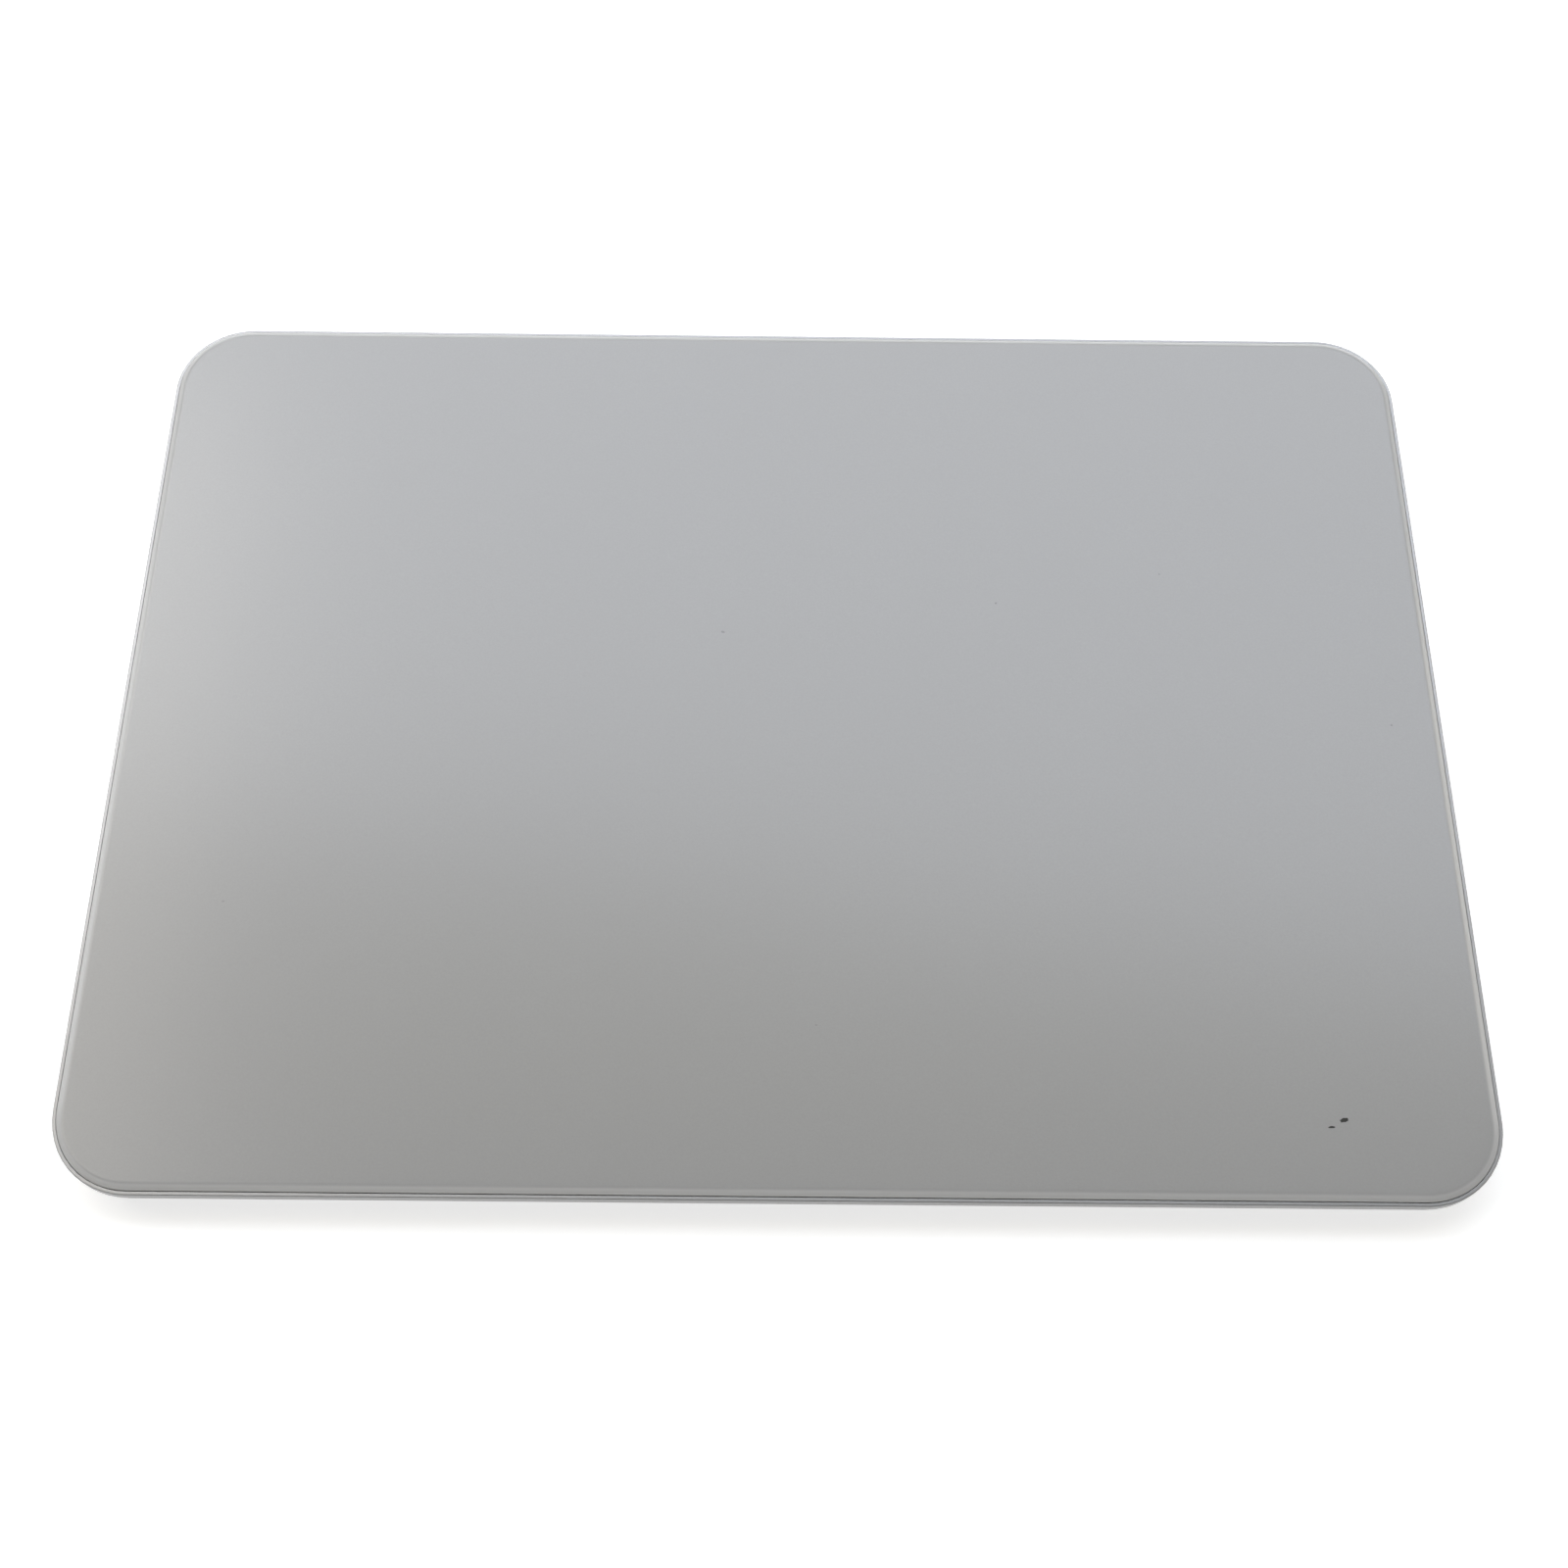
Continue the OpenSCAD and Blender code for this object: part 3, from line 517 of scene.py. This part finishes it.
def switch_channel():
    """Black plastic with a green patch at the end that the slider leaves when it goes on."""
    black = (0.022, 0.022, 0.023)
    green = (0.05, 0.42, 0.10)
    travel = joint_row("power_switch")["range_m"][1]
    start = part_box("switch_slider")[0].x
    look = Look("switch_channel", black, 0.45)
    texture = look.noise(0.12 * MM, detail=3)
    across = look.add("SeparateXYZ", {0: look.places}).outputs["X"]
    patch = look.spread(across, 1, 0, start + PATCH_EDGE * travel, start + travel)
    look.colour(look.tint(patch, black, green))
    look.roughness(look.vary(texture, 0.38, 0.52))
    look.relief(texture, 0.004 * MM)
    return look.material


SLOT_LOOKS = (
    anodised_aluminium, white_glass, white_plastic, foot_rubber, adhesive, clear_adhesive, cell_pouch,
    circuit_board, chip_resin, shield_steel, spring_steel, core_steel, screw_steel, copper_winding,
    flex_circuit, connector_plastic, antenna_ceramic, port_plastic, gold_plate, gauge_foil, pad_silicone,
)
LOOKS = {make.__name__: make() for make in SLOT_LOOKS}
NODE_SLOT = {row["node"]: row["material_slot"] for row in frame["record"]["subparts"]}
NODE_BODY = {node: body for body, nodes in frame["record"]["behaviour"]["bodies"].items() for node in nodes}


# Objects and meshes

def add_object(name, data):
    """A new object in the scene."""
    thing = bpy.data.objects.new(name, data)
    bpy.context.scene.collection.objects.link(thing)
    return thing


def paint(thing, material):
    """Gives a piece one material all over."""
    thing.data.materials.clear()
    thing.data.materials.append(material)


def stand_in(name, mesh, node):
    """A new piece that stands for a CAD node and takes its finish."""
    piece = add_object(name, mesh)
    paint(piece, LOOKS[NODE_SLOT[node]])
    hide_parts(node)
    return piece


def riding(name, mesh, node):
    """A new piece that stands for a CAD node and rides on its body, with its flat faces kept flat."""
    piece = stand_in(name, mesh, node)
    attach(piece, NODE_BODY[node])
    weighted = piece.modifiers.new("flat_faces", "WEIGHTED_NORMAL")
    weighted.keep_sharp = True
    weighted.weight = FLAT_WEIGHT


def welded(node):
    """The shape of a CAD node, with the points that its faces share joined."""
    shape = bmesh.new()
    shape.from_mesh(frame["nodes"][node].data)
    bmesh.ops.remove_doubles(shape, verts=shape.verts, dist=WELD)
    return shape


def plain_mesh(name, shape):
    """A mesh of a shape, which is used up."""
    mesh = bpy.data.meshes.new(name)
    shape.to_mesh(mesh)
    shape.free()
    return mesh


def smooth_mesh(name, shape):
    """A mesh of a shape, with smooth shading that breaks at sharp edges."""
    mesh = plain_mesh(name, shape)
    if "custom_normal" in mesh.attributes:
        mesh.attributes.remove(mesh.attributes["custom_normal"])
    mesh.polygons.foreach_set("use_smooth", [True] * len(mesh.polygons))
    mesh.set_sharp_from_angle(angle=SMOOTH_ANGLE)
    return mesh


# Glass plate

def rounded_path(points, radii):
    """A path with its inner corners rounded over the given lengths."""
    path = [points[0]]
    for before, corner, after, radius in zip(points, points[1:], points[2:], radii):
        start = corner + (before - corner).normalized() * radius
        end = corner + (after - corner).normalized() * radius
        for step in range(ARC_STEPS + 1):
            part = step / ARC_STEPS
            path.append(start.lerp(corner, part).lerp(corner.lerp(end, part), part))
    return path + [points[-1]]


def glass_ring(inset, level, sides):
    """Points of the plate's outline at an inset from its sides and a level along its up direction."""
    (left, right), (front, rear) = sides
    corner = GLASS_CORNER + GLASS_SWELL
    radius = corner - inset
    middle_x, middle_y = (left + right) / 2, (front + rear) / 2
    straight_x, straight_y = (right - left) / 2 - corner, (rear - front) / 2 - corner
    points = []
    for quarter, (side_x, side_y) in enumerate(((1, 1), (-1, 1), (-1, -1), (1, -1))):
        for step in range(CORNER_STEPS + 1):
            angle = (quarter + step / CORNER_STEPS) * math.pi / 2
            across = middle_x + side_x * straight_x + radius * math.cos(angle)
            along = middle_y + side_y * straight_y + radius * math.sin(angle)
            points.append(ACROSS * across + ALONG * along + UP * level)
    return points


def loft(name, rings):
    """A closed skin over rings of equal count, with flat ends."""
    skin = bmesh.new()
    rows = [[skin.verts.new(point) for point in ring] for ring in rings]
    for first, second in zip(rows, rows[1:]):
        for place in range(len(first)):
            beside = (place + 1) % len(first)
            skin.faces.new((first[place], first[beside], second[beside], second[place]))
    skin.faces.new(rows[0])
    skin.faces.new(rows[-1])
    bmesh.ops.recalc_face_normals(skin, faces=skin.faces)
    return smooth_mesh(name, skin)


def glass_plate():
    """The touch plate's glass: a flat satin face that rolls into a ground bevel."""
    extents = [reach("touch_glass", direction) for direction in (ACROSS, ALONG)]
    sides = [(low - GLASS_SWELL, high + GLASS_SWELL) for low, high in extents]
    under, top = reach("touch_glass", UP)
    corners = (
        (2 * BEVEL_WIDTH, 0.0),
        (BEVEL_WIDTH, 0.0),
        (0.0, -BEVEL_DROP),
        (0.0, under - top),
        (BEVEL_WIDTH, under - top),
    )
    path = rounded_path([Vector(corner) for corner in corners], (BEVEL_BLEND, EDGE_ROUND, EDGE_ROUND))
    mesh = loft("glass_plate", [glass_ring(point.x, top + point.y, sides) for point in path])
    riding("glass_plate", mesh, "touch_glass")


# Finely rounded copies of the CAD shapes that show

def round_edges(shape, width, pick):
    """Rounds the sharp edges of a shape that a test picks."""
    sharp = [e for e in shape.edges if e.is_manifold and e.calc_face_angle() > SHARP_ANGLE and pick(e)]
    bmesh.ops.bevel(shape, geom=sharp, offset=width, offset_type="OFFSET", segments=ROUND_STEPS,
                    profile=ROUND_PROFILE, affect="EDGES", clamp_overlap=True)


def softened(node, *rounds):
    """A copy of a CAD node with its sharp edges finely rounded, which stands for the node.

    Each round is a width and a test for the edges that it takes."""
    shape = welded(node)
    bmesh.ops.dissolve_limit(shape, angle_limit=FLAT_ANGLE, verts=shape.verts, edges=shape.edges)
    for width, pick in rounds:
        round_edges(shape, width, pick)
    name = node + "_rounded"
    riding(name, smooth_mesh(name, shape), node)


def enclosure():
    """The metal body: the rim is softly rounded outside and crisp along the slit beside the glass."""
    rim_level = reach("enclosure", UP)[1] - LEVEL_SLACK
    low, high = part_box("enclosure")

    def on_rim(edge):
        return all(vertex.co.dot(UP) > rim_level for vertex in edge.verts)

    def on_slit(edge):
        walls = [face for face in edge.link_faces if abs(face.normal.dot(UP)) < WALL_LEAN]
        inward = -edge.verts[0].co
        return on_rim(edge) and any(face.normal.dot(inward) > 0 for face in walls)

    def on_opening(edge):
        rear = all(vertex.co.y > high.y - LEVEL_SLACK for vertex in edge.verts)
        underside = all(vertex.co.z < low.z + LEVEL_SLACK for vertex in edge.verts)
        return rear or underside

    softened("enclosure", (SLIT_ROUND, on_slit), (RIM_ROUND, on_rim), (OPENING_ROUND, on_opening))


def small_pieces():
    """The cover, the feet, the port and the slider, rounded along all their sharp edges."""
    def on_any(edge):
        return True

    for node, width in PIECE_ROUNDS.items():
        softened(node, (width, on_any))


# Pieces sliced across the stretch where the real springs and circuit bend, between the base and the moving plate

def bending(node, start, end):
    """A copy of a CAD node, sliced at even steps between two points, which stands for the node."""
    shape = welded(node)
    for step in range(1, BEND_STEPS):
        cut = start.lerp(end, step / BEND_STEPS)
        everything = [*shape.verts, *shape.edges, *shape.faces]
        bmesh.ops.bisect_plane(shape, geom=everything, dist=WELD, plane_co=cut, plane_no=end - start)
    name = node + "_bending"
    piece = stand_in(name, smooth_mesh(name, shape), node)
    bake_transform(piece)


def springs():
    """The four flexures and the gauges under them, sliced between their screws and their pads."""
    for corner in CORNERS:
        outward = -1 if corner.endswith("left") else 1
        start = Vector((outward * BEND_START, 0, 0))
        end = Vector((outward * BEND_END, 0, 0))
        bending("flexure_" + corner, start, end)
        bending("strain_gauge_" + corner, start, end)


def touch_loop():
    """The touch circuit's loop, from its connector up to the sensor board."""
    low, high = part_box("touch_flex")
    bending("touch_flex", Vector((0, 0, low.z)), Vector((0, 0, high.z)))


# Studio

def set_piece(name, shape, look):
    """A new studio piece with one material, made from a shape that is used up."""
    piece = add_object(name, plain_mesh(name, shape))
    paint(piece, look.material)
    return piece


def floor():
    """A plain pale floor under the feet, open from below."""
    disc = bmesh.new()
    turns = [2 * math.pi * step / FLOOR_STEPS for step in range(FLOOR_STEPS)]
    ring = [(FLOOR_RADIUS * math.cos(turn), FLOOR_RADIUS * math.sin(turn), 0) for turn in turns]
    disc.faces.new([disc.verts.new(point) for point in ring])
    look = Look("floor", FLOOR_COLOUR, 0.9)
    look.glow(FLOOR_GLOW)
    clear = look.add("BsdfTransparent")
    below = look.add("NewGeometry").outputs["Backfacing"]
    both = look.add("MixShader", {0: below, 1: look.shader.outputs[0], 2: clear.outputs[0]})
    look.put(look.tree.nodes["Material Output"], {"Surface": both.outputs[0]})
    set_piece("floor", disc, look)


def backdrop():
    """A plain pale dome all round, which only shows behind the part and lights nothing."""
    dome = bmesh.new()
    bmesh.ops.create_uvsphere(dome, u_segments=BACKDROP_SEGMENTS, v_segments=BACKDROP_RINGS,
                              radius=BACKDROP_RADIUS)
    look = Look("backdrop", (0, 0, 0), 1.0)
    look.glow(BACKDROP_GLOW)
    shell = set_piece("backdrop", dome, look)
    shell.visible_diffuse = False
    shell.visible_glossy = False
    shell.visible_transmission = False
    shell.visible_shadow = False


def soft_light(name, place, aim, size, turn, power, colour):
    """A rectangular soft light, turned about the way it shines."""
    lamp = bpy.data.lights.new(name, "AREA")
    lamp.shape = "RECTANGLE"
    lamp.size, lamp.size_y = size
    lamp.energy = power
    lamp.color = colour
    light = add_object(name, lamp)
    light.location = place
    aimed = (Vector(aim) - Vector(place)).to_track_quat("-Z", "Y")
    light.rotation_euler = (aimed @ Quaternion((0, 0, 1), math.radians(turn))).to_euler()


def sky():
    """A pale sky that is strongest near the horizon."""
    world = bpy.data.worlds.new("studio")
    world.use_nodes = True
    tree = world.node_tree
    background = tree.nodes["Background"]
    background.inputs["Color"].default_value = (*SKY_COLOUR, 1.0)
    direction = tree.nodes.new("ShaderNodeTexCoord")
    parts = tree.nodes.new("ShaderNodeSeparateXYZ")
    fade = tree.nodes.new("ShaderNodeMapRange")
    fade.interpolation_type = "SMOOTHSTEP"
    fade.inputs["From Min"].default_value, fade.inputs["From Max"].default_value = SKY_HEIGHTS
    fade.inputs["To Min"].default_value, fade.inputs["To Max"].default_value = SKY_STRENGTHS
    tree.links.new(direction.outputs["Generated"], parts.inputs[0])
    tree.links.new(parts.outputs["Z"], fade.inputs["Value"])
    tree.links.new(fade.outputs[0], background.inputs["Strength"])
    bpy.context.scene.world = world


def studio():
    """The floor, the backdrop, the lights and the sky, with plain display colours."""
    floor()
    backdrop()
    for light in LIGHTS:
        soft_light(*light)
    sky()
    bpy.context.scene.view_settings.view_transform = "Standard"


def camera():
    """The photograph's camera."""
    lens = bpy.data.cameras.new("camera")
    lens.lens = LENS
    lens.sensor_width = SENSOR
    lens.clip_start = CAMERA_NEAR
    eye = add_object("camera", lens)
    eye.location = CAMERA_PLACE
    eye.rotation_euler = [math.radians(turn) for turn in CAMERA_TURN]
    bpy.context.scene.camera = eye


def finishes():
    """Gives every CAD node its slot's finish, and the switch's housing its channel."""
    for node, slot in NODE_SLOT.items():
        paint(frame["nodes"][node], LOOKS[slot])
    paint(frame["nodes"]["switch_housing"], switch_channel())


camera()
studio()
finishes()
glass_plate()
enclosure()
small_pieces()
springs()
touch_loop()
